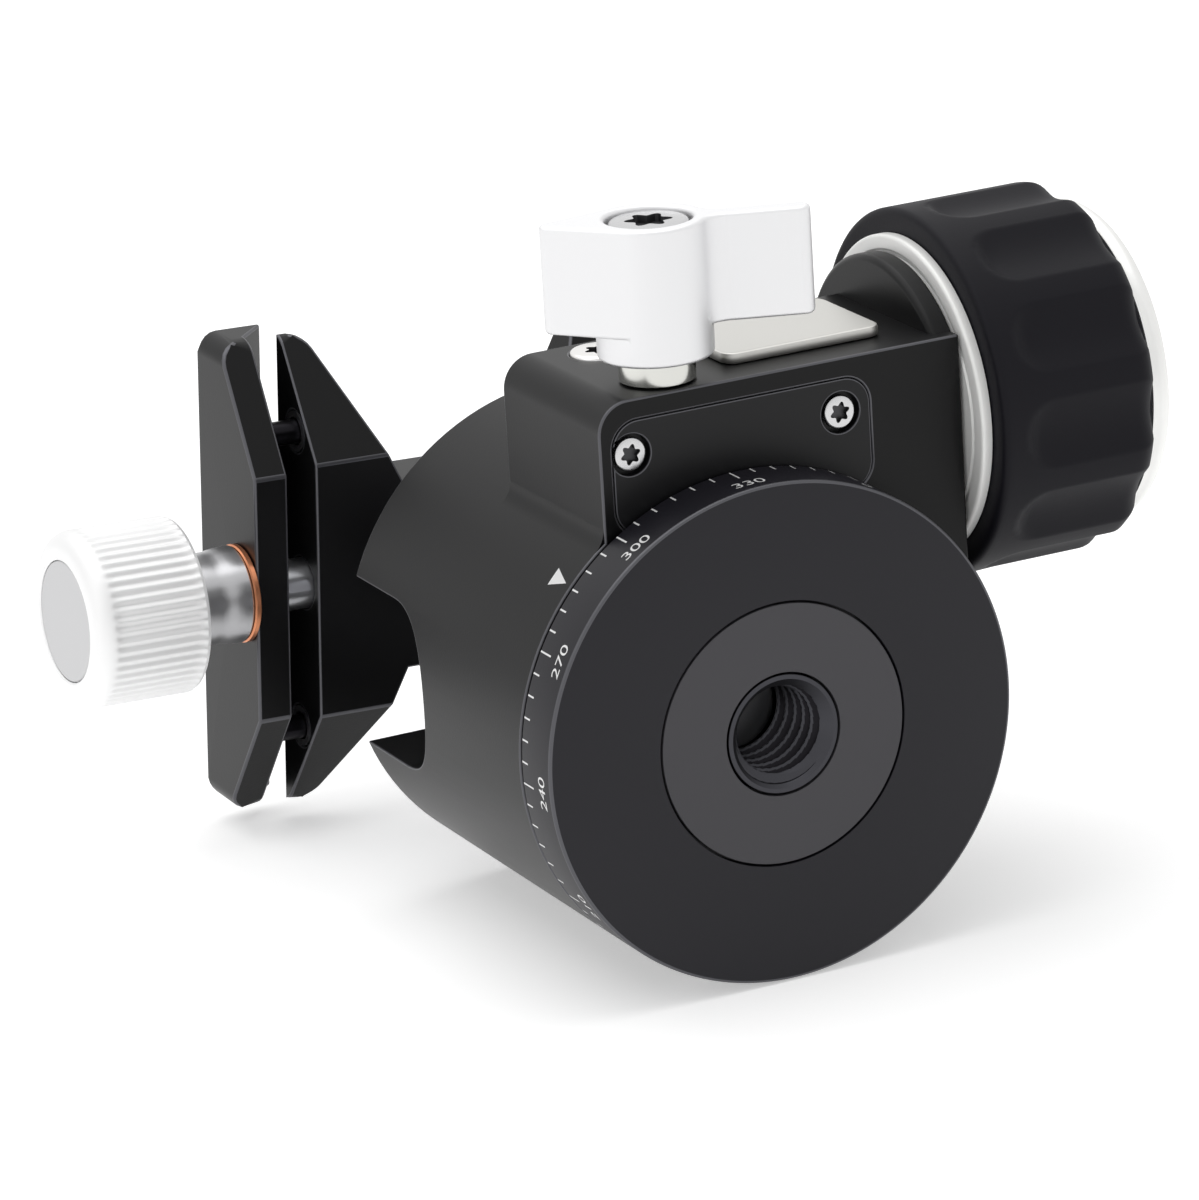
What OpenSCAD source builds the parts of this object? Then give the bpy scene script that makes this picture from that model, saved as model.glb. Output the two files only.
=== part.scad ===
// Tripod ball head with a screw clamp, a drop notch and a rotating base.
// Origin: centre of the underside of the base. +Z is the pan axis, towards the clamp.
// The lock block is on the -Y side and its large knob points to +X.
// The ball is drawn at the lean, side tilt and spin that the head is left at.

/* [Base] */
// Diameter of the base and of the barrel
base_d = 47; // [46:0.5:50]
// Height of the graduated ring of the base
ring_h = 5.8; // [5.2:0.1:6.6]
// Chamfer round the underside of the base
ring_chamfer = 0.45; // [0.2:0.05:0.8]
// Diameter of the round pad let into the underside
pad_d = 24.7; // [22:0.1:27]
// Thickness of that pad
pad_t = 1.2; // [1:0.1:1.4]
// Outside diameter of the tripod thread bush
bush_d = 11.4; // [11:0.1:12.5]
// Length of the tripod thread bush
bush_len = 9.6; // [8:0.1:10.4]
// Largest diameter of the tripod thread
thread_d = 9.525; // [9.525:0.001:9.6]
// Diameter of the crests inside the tripod thread
thread_crest_d = 7.94; // [7.8:0.01:8.1]
// Diameter of the small screws that hold the hub to the base
hub_screw_d = 3; // [2:0.5:3]
// Number of the hub screws
hub_screw_n = 3; // [3:1:4]

/* [Pan joint] */
// Wall of the bearing sleeve round the pan hub
sleeve_wall = 3.3; // [2.8:0.1:3.8]
// Height of the pan hub above the base ring
hub_h = 7; // [6.6:0.1:7.6]
// Thickness of the ring that keeps the barrel on the hub
retainer_t = 2; // [1.4:0.1:2.2]
// Gap between that ring and the bore
retainer_gap = 1.3; // [0.8:0.1:2]
// Width of the gap seen between the ring and the barrel
pan_gap = 0.2; // [0.15:0.05:0.3]
// Thickness of the sliding washer in the base
pan_washer_t = 0.7; // [0.5:0.05:1]

/* [Barrel] */
// Diameter of the ball
ball_d = 36; // [34.6:0.1:38]
// Space under the ball
ball_under = 1.7; // [1.4:0.1:2.4]
// Height of the rim of the barrel above the middle of the ball
rim_rise = 8.5; // [7.5:0.1:9.5]
// Width of the drop notch
notch_w = 16.3; // [15.8:0.1:17]
// Clearance of the bore that the ball is put in by, on the diameter
bore_clear = 0.6; // [0.4:0.05:1]
// Height of the seat ring that is screwed in under the ball
seat_ring_h = 1.6; // [1.2:0.1:1.8]
// Height of the wave spring under the ball seat
spring_h = 0.9; // [0.6:0.1:1]
// Height of the ball seat
seat_h = 3.6; // [3:0.1:4.4]

/* [Lock block] */
// Left side of the block, from the pan axis
block_left = 13.7; // [13:0.1:14.4]
// Front of the block, from the pan axis
block_front = 31.9; // [31:0.1:33]
// Height of the top of the block
block_top = 25.4; // [24.8:0.1:27]
// Radius of the outer corners of the block
block_corner = 3; // [1:0.5:4]
// Width of the cover plate
cover_w = 26; // [25.6:0.1:26.4]
// Thickness of the cover plate
cover_t = 1.6; // [1.4:0.1:2]
// Distance from the block's front to the cover plate
cover_edge = 2; // [1.6:0.1:2.4]
// Distance between the two cover screws
cover_screw_gap = 21.2; // [20.6:0.1:21.6]
// Head diameter of the cover screws
cover_head_d = 3.1; // [2.8:0.1:3.4]
// Length of the label plate
label_w = 16.2; // [14:0.1:16.6]
// Width of the label plate
label_d = 12.4; // [10:0.1:13]
// Thickness of the label plate
label_t = 1.1; // [0.8:0.1:1.4]
// Diameter of the screw plug beside the pan lock
plug_d = 5.6; // [4:0.1:6]

/* [Ball lock] */
// Wall between the ball's bore and the pocket of the cone nut
lock_wall = 0.9; // [0.7:0.05:1.2]
// Height of the knob's axis
lock_z = 18; // [17.6:0.1:18.4]
// Diameter of the round boss that the knob sits against
boss_d = 27.3; // [26:0.1:29]
// Length of that boss
boss_len = 2.2; // [1.6:0.1:3.4]
// How much smaller the silver flange of the knob is than its end cap, on the radius
flange_step = 0.3; // [0:0.1:0.6]
// Thickness of the silver flange
flange_t = 1.1; // [0.8:0.1:1.6]
// Diameter of the rubber grip
grip_d = 34.8; // [33:0.1:36]
// Length of the rubber grip
grip_len = 16.9; // [15:0.1:18]
// Wall of the rubber grip between the flutes
grip_wall = 3.4; // [2.8:0.1:3.8]
// Number of flutes round the grip
flute_n = 12; // [10:1:14]
// Depth of a flute
flute_depth = 1.1; // [0.6:0.1:1.5]
// Diameter of the end cap of the knob
cap_d = 30.8; // [28:0.1:32]
// Thickness of the end cap
cap_t = 2.1; // [1.6:0.1:3]
// Diameter of the knob's journal in the block
journal_d = 8; // [7:0.5:9]
// Diameter of the lock screw's thread
lock_thread_d = 5; // [4:0.5:5]
// Largest diameter of the cone nut
cone_d = 7.8; // [7.4:0.1:8]
// Length of the cone nut
cone_len = 6.4; // [5.4:0.1:6.8]
// How much the cone nut narrows on its radius, per millimetre
cone_slope = 0.15; // [0.08:0.01:0.2]
// Diameter of the shoe that presses on the ball
shoe_d = 6; // [5:0.1:6.4]

/* [Pan lock] */
// Distance of the pan lock's axis to the left of the pan axis
wing_x = 5.4; // [5:0.1:5.8]
// Height of the pan lock's axis
wing_z = 10.3; // [10:0.1:10.5]
// Reach of the long wing of the lever, from its axis
wing_long = 14.5; // [12:0.1:16]
// Reach of the short wing of the lever, from its axis
wing_short = 9.8; // [8.6:0.1:11]
// Height of the wings
wing_h = 10; // [8:0.1:11]
// Thickness of the long wing
wing_t = 2.2; // [1.8:0.1:3]
// Diameter of the hub of the wing lever
wing_hub_d = 10.6; // [10:0.1:12]
// Height of the hub below the wings
wing_neck_h = 2.7; // [2:0.1:3.4]
// Diameter of the polished collar under the lever
collar_d = 7; // [6:0.1:8]
// Height of that collar
collar_h = 2.3; // [1.8:0.1:3]
// Diameter of the stud of the pan lock
stud_d = 4; // [3.5:0.5:4.5]
// Turn of the wing lever as it is left
wing_turn = 21; // [0:1:30]

/* [Stem and pose] */
// Diameter of the stem of the ball
stem_d = 14.4; // [13.6:0.1:14.6]
// Length of the stem that stands clear of the ball
stem_rise = 7.4; // [7:0.1:9]
// Lean of the stem away from the notch, in degrees
lean = -0.9; // [-4:0.1:6]
// Tilt of the stem to the front, in degrees
side = 1.8; // [-4:0.1:4]
// Turn of the clamp on the stem, in degrees
spin = 2.6; // [-5:0.1:5]

/* [Clamp] */
// Length of both jaws
jaw_len = 47.4; // [45:0.1:52]
// Height of the clamp with its jaws
clamp_t = 12.8; // [12.4:0.1:14]
// Thickness of the jaws at their ends
jaw_end_t = 5.1; // [4.8:0.1:6]
// Length of the thick middle of the moving jaw
jaw_mid = 24.4; // [22:0.1:26]
// Length of the thick middle of the clamp body
body_mid = 25.5; // [23:0.1:27]
// Near face of the clamp body, from the stem's axis
body_near = 18.5; // [18:0.1:19]
// Gap between the jaw and the clamp body as it is left
jaw_gap = 3; // [2.7:0.1:3.6]
// Thickness of the moving jaw below its lip
jaw_t = 3.5; // [3.2:0.1:4.6]
// Root of the fixed jaw, from the stem's axis
fixed_root = 17; // [16.6:0.1:17.4]
// Thickness of the fixed jaw behind its root
fixed_t = 5.5; // [4.5:0.1:6.5]
// Height of the lips above the bed
lip_h = 4.4; // [4.2:0.1:4.7]
// How far the lips reach over a plate
lip_reach = 3.1; // [2.4:0.1:3.3]
// Width of the waist of the clamp body
waist_w = 18.5; // [17.6:0.1:20]
// Run of the straight taper from a jaw to the waist
waist_run = 7.2; // [6.4:0.1:8]
// Height of the clamp screw above the clamp's underside
screw_h = 3.5; // [3.2:0.1:3.9]
// Diameter of the clamp screw
screw_d = 5; // [4:0.5:5]
// Distance between the two guide pins
pin_gap = 30; // [26:0.5:30]
// Diameter of the guide pins
pin_d = 2.4; // [2:0.1:3]
// Diameter of the clamp knob
knob_d = 17.3; // [16.4:0.1:18.4]
// Length of the knurled part of the clamp knob
knob_len = 11.6; // [10.6:0.1:13]
// Length of the smooth neck of the clamp knob
knob_neck = 6.2; // [5.4:0.1:7]
// Diameter of that neck
neck_d = 9.5; // [9:0.1:10]
// Diameter of the disc let into the end of the clamp knob
disc_d = 11.8; // [10.6:0.1:12.6]
// Thickness of the copper washer
washer_t = 0.7; // [0.5:0.1:1]
// Diameter of the copper washer
washer_d = 9.6; // [9:0.1:11]

/* [Hidden] */
$fn = 64;
run = 0.05;       // running clearance on a radius or a face
fit = 0.02;       // clearance where two fixed pieces fit together
eps = 0.5;        // overshoot of a cut past a face
base_r = base_d / 2;
housing_z = ring_h + pan_gap;
hub_top = ring_h + hub_h;
sleeve_top = hub_top - run * 2;
ball_r = ball_d / 2;
bore_r = ball_r + bore_clear / 2;
hub_r = bore_r - sleeve_wall;
neck_r = 8;       // top of the hub, inside the retaining ring
notch_r = notch_w / 2;
retainer_top = hub_top + retainer_t;
ball_z = retainer_top + ball_under + ball_r;
barrel_top = ball_z + rim_rise;
nut_gap = 0.2;    // clearance behind the cone nut in its pocket
lock_y = bore_r + lock_wall + nut_gap + cone_d / 2;
pan_washer_in = 1;
pan_washer_out = 2.5;
seat_ring_gap = 0.2;
seat_ring_z = retainer_top + seat_ring_gap;
spring_z = seat_ring_z + seat_ring_h;
seat_in_r = 8;
block_right = base_r - 0.4;
cover_front = block_front - cover_edge;
cover_back = bore_r + 1;
cover_corner = 2.6;
cover_screw_y = cover_front - 3.1;
cover_screw_d = 1.8;
cover_screw_len = 5;
pocket_x0 = -1.6;
pocket_x1 = 8.4;
pocket_front = lock_y + cone_d / 2 + 0.6;
pocket_back = bore_r + lock_wall;
pocket_top = lock_z + cone_d / 2 + 0.8;
cone_x = pocket_x1 - cone_len - 0.3;
lock_tilt = atan2(ball_z - lock_z, lock_y);
lock_reach = sqrt(pow(ball_z - lock_z, 2) + pow(lock_y, 2));
shoe_x = cone_x + cone_len / 2;
shoe_back = lock_reach - cone_r_at(shoe_x - shoe_d / 2) - 0.1;
knob_x = block_right + 0.3;
flange_d = cap_d - 2 * flange_step;
grip_x = knob_x + flange_t;
grip_end = grip_x + grip_len;
shaft_end = grip_end - 6;
knob_bolt_d = 2.4;
knob_bolt_len = 9.6;
knob_bolt_head_d = 7.6;
knob_bolt_head_h = 3.2;
knob_bolt_x = grip_end - knob_bolt_head_h - nut_gap;
core_r = grip_d / 2 - grip_wall;
plug_x = -5.6;
plug_z = 21.4;
plug_len = 3;
label_x = 1.3;
label_z = 9.8;
collar_y = block_front + 0.05;
neck_y = collar_y + collar_h;
wings_y = neck_y + wing_neck_h;
wing_top = wings_y + wing_h;
wing_web_r = 2.5;
wing_short_r = 1;
wing_screw_head_d = 7.4;
wing_screw_head_h = 2.2;
wing_screw_len = 6.8;
wing_screw_gap = 0.3;
stud_end = 4;
wing_screw_y = wing_top - wing_screw_gap - wing_screw_head_h;
pan_shoe_d = stud_d + 0.6;
clamp_h = ball_r + stem_rise;
jaw_out = body_near + jaw_gap + jaw_t;
bed_h = clamp_t - lip_h;
pin_h = bed_h - 3.8;
stem_bolt_d = 6;
stem_bolt_in = 5.6;  // how far it reaches into the stem
stem_bolt_head_d = 10.4;
stem_bolt_head_h = 3;
stem_bolt_head_z = bed_h - stem_bolt_head_h - 0.4;
pin_in = 3.5;     // how far the guide pins reach into the clamp body
pin_travel = 2.2; // room ahead of them
spring_len = 1.4;
knob_s = jaw_out + washer_t + 0.05;
knurl_s = knob_s + knob_neck;
knob_end = knurl_s + knob_len;

// Radius of the cone nut at a place along X
function cone_r_at(x) = cone_d / 2 - cone_slope * (x - cone_x);

// A straight cylinder along +X, +Y or -Y from a point
module rod_x(x0, x1, r) { translate([x0, 0, 0]) rotate([0, 90, 0]) cylinder(r = r, h = x1 - x0); }
module rod_front(y0, y1, r) { translate([0, -y0, 0]) rotate([90, 0, 0]) cylinder(r = r, h = y1 - y0); }
module ring(r_out, r_in, z0, z1) {
    difference() {
        translate([0, 0, z0]) cylinder(r = r_out, h = z1 - z0);
        translate([0, 0, z0 - eps]) cylinder(r = r_in, h = z1 - z0 + 2 * eps);
    }
}
// A rectangle with round corners, from one corner to the other
module round_rect(x0, y0, x1, y1, r) {
    translate([x0 + r, y0]) square([x1 - x0 - 2 * r, y1 - y0]);
    translate([x0, y0 + r]) square([x1 - x0, y1 - y0 - 2 * r]);
    for (x = [x0 + r, x1 - r], y = [y0 + r, y1 - r]) translate([x, y]) circle(r = r);
}
// Puts a child that is built along X on the axis of the large knob
module on_lock_axis() { translate([0, -lock_y, lock_z]) children(); }
// Puts a child that is built along -Y on the axis of the pan lock
module on_wing_axis() { translate([-wing_x, 0, wing_z]) children(); }
// Puts a child that points up from the ball's middle at its lean and tilt
module on_stem() { translate([0, 0, ball_z]) rotate([side, 0, 0]) rotate([0, lean, 0]) children(); }
// Puts a child drawn on the clamp's underside in place: X along the screw, Y along the jaws
module on_clamp() { on_stem() rotate([0, 0, spin]) translate([0, 0, clamp_h]) children(); }

// ---- Base ----
module hub_screw_places() {
    for (i = [0 : hub_screw_n - 1])
        rotate([0, 0, 30 + i * 360 / hub_screw_n]) translate([bush_d / 2 + 3.1, 0, 0]) children();
}
module base_plate() {
    color([0.13, 0.13, 0.14]) difference() {
        rotate_extrude() polygon([
            [bush_d / 2 + fit, 0], [base_r - ring_chamfer, 0], [base_r, ring_chamfer],
            [base_r, ring_h], [bush_d / 2 + fit, ring_h]]);
        translate([0, 0, -eps]) cylinder(r = pad_d / 2 + fit, h = eps + pad_t);
        hub_screw_places() {
            cylinder(r = hub_screw_d / 2 + fit, h = ring_h + eps);
            cylinder(r = hub_screw_d * 0.85, h = pad_t + hub_screw_d * 0.6);
        }
        ring(base_r - pan_washer_out + run, hub_r + pan_washer_in - run,
            ring_h + pan_gap - run - pan_washer_t, ring_h + eps);
    }
}
module base_pad() {
    color([0.3, 0.3, 0.31]) ring(pad_d / 2, bush_d / 2 + fit, 0, pad_t);
}
module thread_bush() {
    mouth = (thread_d - thread_crest_d) / 2;
    color([0.27, 0.27, 0.28]) rotate_extrude() polygon([
        [thread_d / 2, 0], [bush_d / 2, 0], [bush_d / 2, bush_len],
        [thread_crest_d / 2, bush_len], [thread_crest_d / 2, mouth]]);
}
module pan_hub() {
    groove = 0.8;
    color([0.75, 0.76, 0.78]) difference() {
        rotate_extrude() polygon([
            [bush_d / 2 + fit, ring_h], [hub_r, ring_h],
            [hub_r, wing_z - pan_shoe_d / 2 - 0.4], [hub_r - groove, wing_z - pan_shoe_d / 2 + 0.4],
            [hub_r - groove, wing_z + pan_shoe_d / 2 - 0.4], [hub_r, wing_z + pan_shoe_d / 2 + 0.1],
            [hub_r, hub_top], [neck_r, hub_top], [neck_r, retainer_top],
            [0, retainer_top], [0, bush_len + 0.2], [bush_d / 2 + fit, bush_len + 0.2]]);
        hub_screw_places() translate([0, 0, ring_h - eps]) cylinder(r = hub_screw_d / 2 + fit, h = 4.6 + eps);
    }
}
module hub_screws() {
    color([0.6, 0.6, 0.62]) hub_screw_places() {
        translate([0, 0, pad_t + fit]) difference() {
            cylinder(r = hub_screw_d * 0.8, h = hub_screw_d * 0.6 - 2 * fit);
            translate([0, 0, -eps]) cylinder(r = hub_screw_d * 0.4, h = eps + hub_screw_d * 0.3, $fn = 6);
        }
        translate([0, 0, pad_t + hub_screw_d * 0.5]) cylinder(r = hub_screw_d / 2, h = ring_h + 3 - pad_t);
    }
}
module pan_washer() {
    color([0.9, 0.9, 0.86]) ring(base_r - pan_washer_out, hub_r + pan_washer_in,
        ring_h + pan_gap - run - pan_washer_t, ring_h + pan_gap - run);
}
module pan_retainer() {
    color([0.78, 0.7, 0.45]) ring(bore_r - retainer_gap, neck_r + fit, hub_top, retainer_top);
}

// ---- Barrel and lock block ----
module block_shape() {
    round_rect(-block_left, -block_front, block_right, 0, block_corner);
    translate([-block_left, -block_front / 2]) square([block_left + block_right, block_front / 2]);
    translate([0, -block_front]) square([block_right, block_front]);
}
module boss() {
    bevel = 0.4;
    x0 = block_right - boss_len;
    intersection() {
        on_lock_axis() rotate([0, 90, 0]) rotate_extrude() polygon([
            [0, x0], [boss_d / 2 - bevel, x0], [boss_d / 2, x0 + bevel],
            [boss_d / 2, block_right], [0, block_right]]);
        translate([0, -60, housing_z]) cube([40, 60, 60]);
    }
}
module notch() {
    translate([-base_r - eps, -notch_r, ball_z]) cube([base_r, notch_w, barrel_top]);
    translate([0, 0, ball_z]) rod_x(-base_r - eps, -eps, notch_r);
}
module lock_bores() {
    // pocket of the cone nut, open under the cover plate
    translate([pocket_x0, -pocket_front, housing_z])
        cube([pocket_x1 - pocket_x0, pocket_front - pocket_back, pocket_top - housing_z]);
    on_lock_axis() rod_x(pocket_x1 - eps, block_right + eps, journal_d / 2 + run);
    shoe_bore(run);
}
module shoe_bore(clear) {
    translate([shoe_x, 0, ball_z]) rotate([lock_tilt, 0, 0])
        rod_front(ball_r - 2, lock_reach - cone_d / 2 + 0.4, shoe_d / 2 + clear);
}
module housing() {
    color([0.16, 0.16, 0.17]) difference() {
        union() {
            translate([0, 0, housing_z]) cylinder(r = base_r, h = barrel_top - housing_z);
            translate([0, 0, housing_z]) linear_extrude(block_top - housing_z) block_shape();
            boss();
        }
        translate([0, 0, housing_z - eps]) cylinder(r = bore_r, h = ball_z - housing_z + eps);
        translate([0, 0, ball_z]) sphere(r = ball_r + 2 * run, $fn = 96);
        notch();
        lock_bores();
        on_wing_axis() rod_front(base_r / 2, block_front + eps, pan_shoe_d / 2 + run);
        translate([0, 0, housing_z - eps]) linear_extrude(cover_t + eps) cover_shape(fit * 2);
        cover_screw_places() translate([0, 0, housing_z])
            cylinder(r = cover_screw_d / 2 + fit, h = cover_t + cover_screw_len);
        translate([plug_x, 0, plug_z]) rod_front(block_front - plug_len, block_front + eps, plug_d / 2 + fit);
    }
}
module pan_sleeve() {
    color([0.7, 0.71, 0.73]) difference() {
        ring(bore_r - fit, hub_r + run, housing_z, sleeve_top);
        on_wing_axis() rod_front(base_r / 2 - 3, base_r, pan_shoe_d / 2 + run);
    }
}
module cover_shape(grow) {
    round_rect(-cover_w / 2 - grow + 0.6, -cover_front - grow, cover_w / 2 + grow + 0.6, -cover_back + grow,
        cover_corner);
}
module cover_screw_places() {
    for (x = [-1, 1]) translate([x * cover_screw_gap / 2, -cover_screw_y, 0]) children();
}
module cover_plate() {
    color([0.2, 0.2, 0.21]) difference() {
        translate([0, 0, housing_z]) linear_extrude(cover_t) cover_shape(0);
        cover_screw_places() {
            cylinder(r = cover_screw_d / 2 + fit, h = housing_z + cover_t + eps);
            cylinder(r = cover_head_d / 2 + 0.4, h = housing_z + cover_t * 0.6);
        }
    }
}
module cover_screws() {
    head = cover_t * 0.6;
    color([0.85, 0.85, 0.84]) cover_screw_places() {
        translate([0, 0, housing_z + 0.1]) difference() {
            cylinder(r = cover_head_d / 2, h = head - 0.1);
            translate([0, 0, -eps]) cylinder(r = cover_head_d / 4, h = eps + head * 0.5, $fn = 6);
        }
        translate([0, 0, housing_z + head]) cylinder(r = cover_screw_d / 2, h = cover_screw_len);
    }
}
module label_plate() {
    color([0.82, 0.82, 0.8]) translate([0, -block_front, 0]) rotate([90, 0, 0]) linear_extrude(label_t)
        round_rect(label_x, label_z, label_x + label_w, label_z + label_d, 1.5);
}
module top_plug() {
    color([0.8, 0.8, 0.78]) translate([plug_x, 0, plug_z]) difference() {
        rod_front(block_front - plug_len, block_front + 0.3, plug_d / 2);
        translate([0, -block_front + 1, 0]) rotate([90, 0, 0]) cylinder(r = plug_d / 4, h = 3, $fn = 6);
    }
}
module seat_ring() {
    color([0.6, 0.6, 0.62]) ring(bore_r - fit, neck_r + 1.5, seat_ring_z, spring_z);
}
module seat_spring() {
    color([0.55, 0.56, 0.58]) ring(bore_r - 1.2, bore_r - 4.2, spring_z, spring_z + spring_h);
}
module ball_seat() {
    color([0.86, 0.84, 0.74]) difference() {
        ring(bore_r - run, seat_in_r, spring_z + spring_h, spring_z + spring_h + seat_h);
        translate([0, 0, ball_z]) sphere(r = ball_r + run, $fn = 96);
        shoe_bore(0.3);
    }
}

// ---- Ball lock ----
module lock_screw() {
    color([0.72, 0.73, 0.75]) on_lock_axis() {
        rod_x(pocket_x0 + 0.4, pocket_x1 + 1, lock_thread_d / 2);
        rod_x(pocket_x1 + 0.3, knob_x, journal_d / 2);
        difference() {
            rod_x(knob_x - fit, shaft_end, journal_d / 2 - 0.5);
            rod_x(knob_bolt_x - knob_bolt_len - 1, shaft_end + eps, knob_bolt_d / 2 + fit);
        }
    }
}
module knob_core() {
    color([0.9, 0.9, 0.9]) on_lock_axis() difference() {
        union() {
            rod_x(knob_x, grip_x, flange_d / 2);
            rod_x(grip_x - fit, grip_end, core_r);
        }
        rod_x(knob_x - eps, shaft_end + fit, journal_d / 2 - 0.5 + fit);
        rod_x(shaft_end - 1, grip_end + eps, knob_bolt_d / 2 + eps);
        rod_x(knob_bolt_x, grip_end + eps, knob_bolt_head_d / 2 + 0.2);
    }
}
module knob_grip() {
    flute_r = 3.6;
    flute_off = grip_d / 2 - flute_depth + flute_r;
    lip = 0.8;
    color([0.17, 0.17, 0.19]) on_lock_axis() difference() {
        rotate([0, 90, 0]) rotate_extrude() polygon([
            [core_r + fit, grip_x], [grip_d / 2 - lip, grip_x], [grip_d / 2, grip_x + lip],
            [grip_d / 2, grip_end - lip * 1.6], [grip_d / 2 - lip * 1.6, grip_end], [core_r + fit, grip_end]]);
        for (i = [0 : flute_n - 1]) rotate([18 + i * 360 / flute_n, 0, 0]) translate([0, -flute_off, 0]) {
            rod_x(grip_x + flute_r, grip_end + eps, flute_r);
            translate([grip_x + flute_r, 0, 0]) sphere(r = flute_r, $fn = 32);
        }
    }
}
module knob_cap() {
    lip = min(1.2, cap_t / 2);
    color([0.93, 0.93, 0.93]) on_lock_axis() rotate([0, 90, 0]) rotate_extrude() {
        polygon([[0, grip_end], [cap_d / 2, grip_end], [cap_d / 2, grip_end + cap_t - lip],
            [cap_d / 2 - lip, grip_end + cap_t - lip], [cap_d / 2 - lip, grip_end + cap_t],
            [0, grip_end + cap_t]]);
        translate([cap_d / 2 - lip, grip_end + cap_t - lip]) circle(r = lip);
    }
}
module knob_bolt() {
    color([0.6, 0.6, 0.62]) on_lock_axis() {
        rod_x(knob_bolt_x - knob_bolt_len, knob_bolt_x + fit, knob_bolt_d / 2);
        difference() {
            rod_x(knob_bolt_x + fit, grip_end - nut_gap, knob_bolt_head_d / 2);
            translate([grip_end - knob_bolt_head_h * 0.6, 0, 0]) rotate([0, 90, 0])
                cylinder(r = knob_bolt_head_d * 0.21, h = knob_bolt_head_h, $fn = 6);
        }
    }
}
module cone_nut() {
    color([0.8, 0.68, 0.4]) on_lock_axis() rotate([0, 90, 0]) rotate_extrude() polygon([
        [lock_thread_d / 2 + fit, cone_x], [cone_r_at(cone_x), cone_x],
        [cone_r_at(cone_x + cone_len), cone_x + cone_len], [lock_thread_d / 2 + fit, cone_x + cone_len]]);
}
module ball_shoe() {
    color([0.8, 0.68, 0.4]) difference() {
        translate([shoe_x, 0, ball_z]) rotate([lock_tilt, 0, 0])
            rod_front(ball_r - 2, shoe_back, shoe_d / 2);
        translate([0, 0, ball_z]) sphere(r = ball_r + 2 * run, $fn = 96);
    }
}

// ---- Pan lock ----
module pan_stud() {
    color([0.7, 0.71, 0.73]) on_wing_axis() difference() {
        rod_front(hub_r + 2.2, wing_top - stud_end, stud_d / 2);
        rod_front(wing_screw_y - wing_screw_len - 1, wing_top - stud_end + eps, stud_d / 4);
    }
}
module wing_collar() {
    color([0.88, 0.88, 0.87]) on_wing_axis() difference() {
        rod_front(collar_y, neck_y, collar_d / 2);
        rod_front(collar_y - eps, neck_y + eps, stud_d / 2 + fit);
    }
}
// Outline of the lever: a round hub, a long flat wing on webs and a short wedge
module wing_outline() {
    hub_r = wing_hub_d / 2;
    web_y = wing_t / 2 + wing_web_r;
    web_x = sqrt(pow(hub_r + wing_web_r, 2) - pow(web_y, 2));
    reach = wing_short - wing_short_r;
    slant = acos((hub_r - wing_short_r) / reach);
    difference() {
        union() {
            circle(r = hub_r);
            translate([0, -wing_t / 2]) square([wing_long - wing_t / 2, wing_t]);
            polygon([[0, 0], [web_x, -web_y], [web_x, web_y]]);
        }
        for (s = [-1, 1]) translate([web_x, s * web_y]) circle(r = wing_web_r + 2 * fit);
    }
    translate([wing_long - wing_t / 2, 0]) circle(r = wing_t / 2);
    rotate([0, 0, 180]) {
        translate([reach, 0]) circle(r = wing_short_r);
        polygon([
            [hub_r * cos(slant), hub_r * sin(slant)],
            [reach + wing_short_r * cos(slant), wing_short_r * sin(slant)],
            [reach + wing_short_r * cos(slant), -wing_short_r * sin(slant)],
            [hub_r * cos(slant), -hub_r * sin(slant)]]);
    }
}
module wing_lever() {
    color([0.93, 0.93, 0.92]) on_wing_axis() rotate([0, wing_turn, 0]) difference() {
        union() {
            rod_front(neck_y, wings_y + 1, wing_hub_d / 2);
            translate([0, -wings_y, 0]) rotate([90, 0, 0]) linear_extrude(wing_h) wing_outline();
        }
        rod_front(neck_y - eps, wing_top - stud_end + fit, stud_d / 2 + fit);
        rod_front(wing_top - stud_end - 1, wing_top + eps, stud_d / 4 + 0.2);
        rod_front(wing_screw_y - fit, wing_top + eps, wing_screw_head_d / 2 + 0.3);
    }
}
module wing_screw() {
    color([0.85, 0.85, 0.84]) on_wing_axis() {
        rod_front(wing_screw_y - wing_screw_len, wing_screw_y + fit, stud_d / 4 - fit);
        difference() {
            rod_front(wing_screw_y, wing_top - wing_screw_gap, wing_screw_head_d / 2);
            rotate([90, 0, 0]) translate([0, 0, wing_top - wing_screw_head_h * 0.7])
                cylinder(r = wing_screw_head_d * 0.3, h = wing_screw_head_h, $fn = 6);
        }
    }
}
module pan_shoe() {
    tip = sqrt(pow(hub_r, 2) - pow(wing_x - pan_shoe_d / 2, 2)) + 0.3;
    color([0.8, 0.68, 0.4]) on_wing_axis() rod_front(tip, hub_r + 1.9, pan_shoe_d / 2);
}

// ---- Ball ----
module ball() {
    color([0.62, 0.62, 0.63]) translate([0, 0, ball_z]) sphere(r = ball_r, $fn = 96);
}
module ball_stem() {
    color([0.62, 0.62, 0.63]) on_stem() difference() {
        cylinder(r = stem_d / 2, h = clamp_h - run);
        sphere(r = ball_r + 2 * run, $fn = 96);
        translate([0, 0, clamp_h - stem_bolt_in - 0.4])
            cylinder(r = stem_bolt_d / 2 + 0.1, h = stem_bolt_in + 1);
    }
}

// ---- Clamp ----
// Side view of a jaw: thick in the middle and thin at the ends; y along the jaw, z up
module jaw_profile(mid) {
    polygon([
        [-mid / 2, 0], [mid / 2, 0], [jaw_len / 2, clamp_t - jaw_end_t], [jaw_len / 2, clamp_t],
        [-jaw_len / 2, clamp_t], [-jaw_len / 2, clamp_t - jaw_end_t]]);
}
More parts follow.
